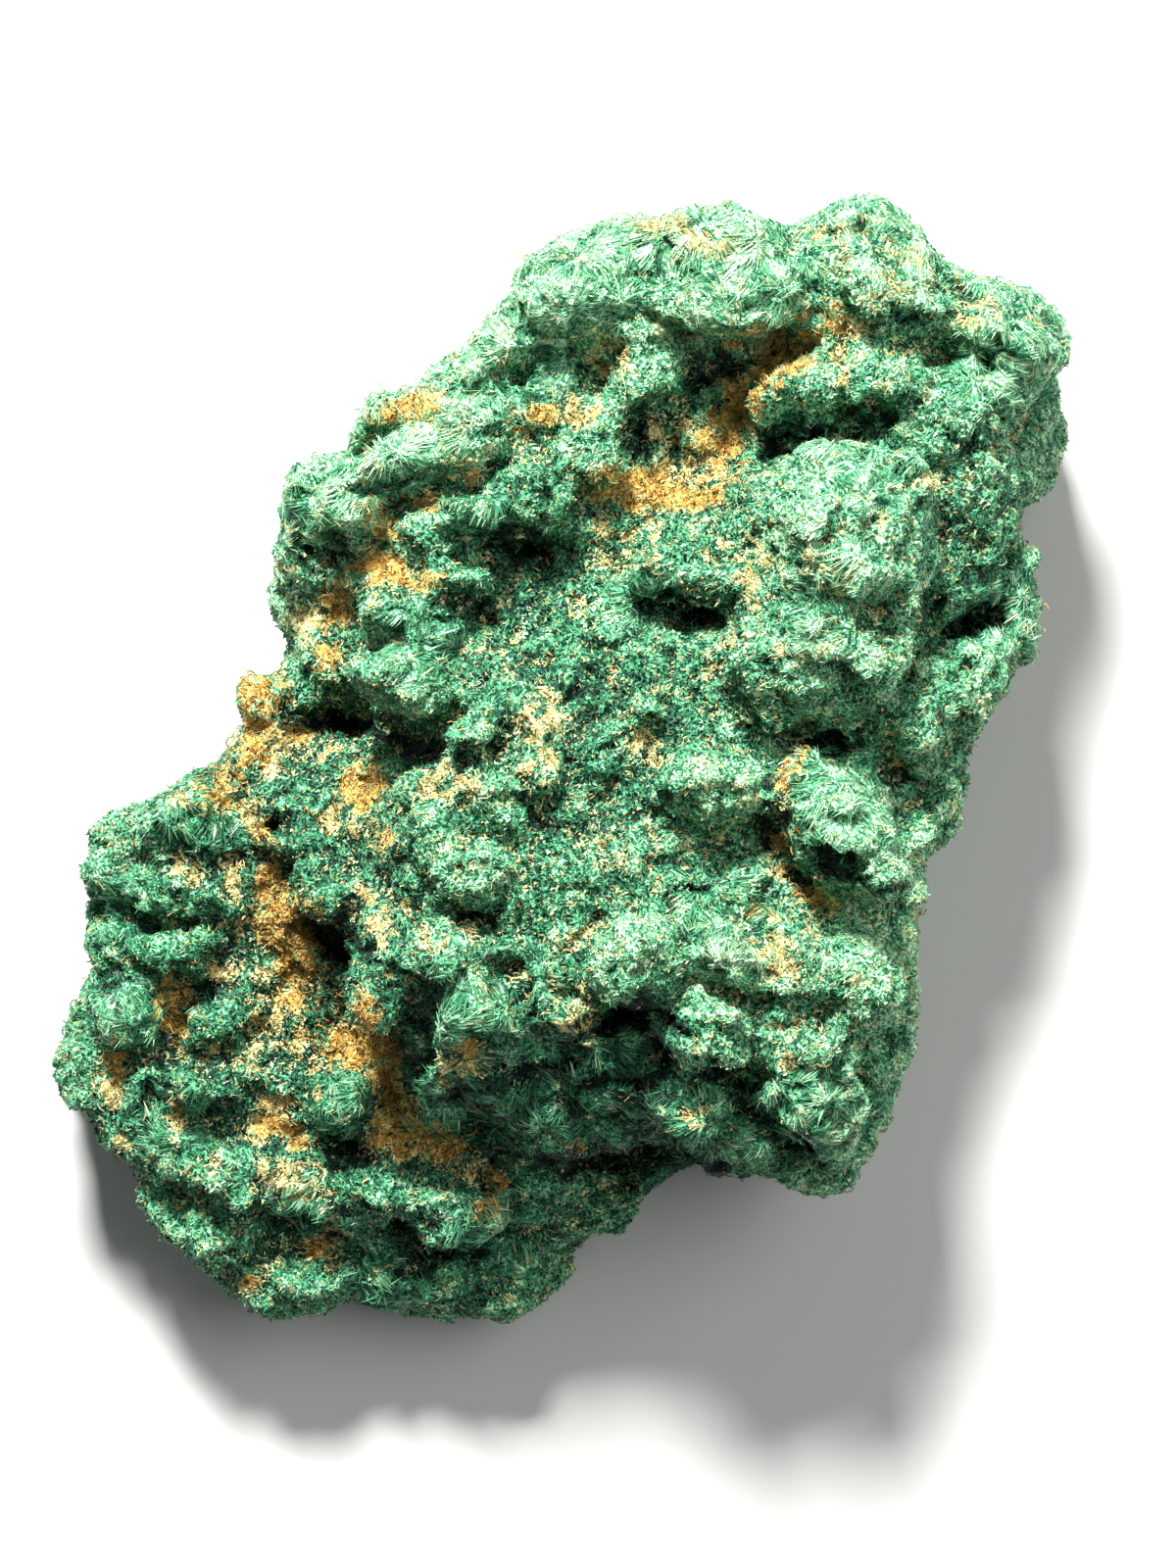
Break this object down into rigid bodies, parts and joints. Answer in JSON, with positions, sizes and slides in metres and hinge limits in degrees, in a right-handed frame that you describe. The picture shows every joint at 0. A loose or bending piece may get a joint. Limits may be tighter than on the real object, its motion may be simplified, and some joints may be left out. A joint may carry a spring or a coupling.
{
  "type": "atacamite mineral specimen",
  "caption": "Hand-sized lump of green fibrous atacamite crystals on rusty vein stone, lying on its flat broken back.",
  "frame": {"origin": "middle of the outline, on the surface that the specimen lies on", "axes": "+Z out of the crystal face, away from the flat back; +Y to the crown, the upper end of the face; +X to the right of the face"},
  "size_m": [0.0538, 0.0582, 0.0262],
  "materials": {
    "atacamite": "sparkling felted green crystals with rusty and cream crevices"
  },
  "bodies": {
    "root": {"atacamite_mass": "atacamite"}
  },
  "joints": []
}
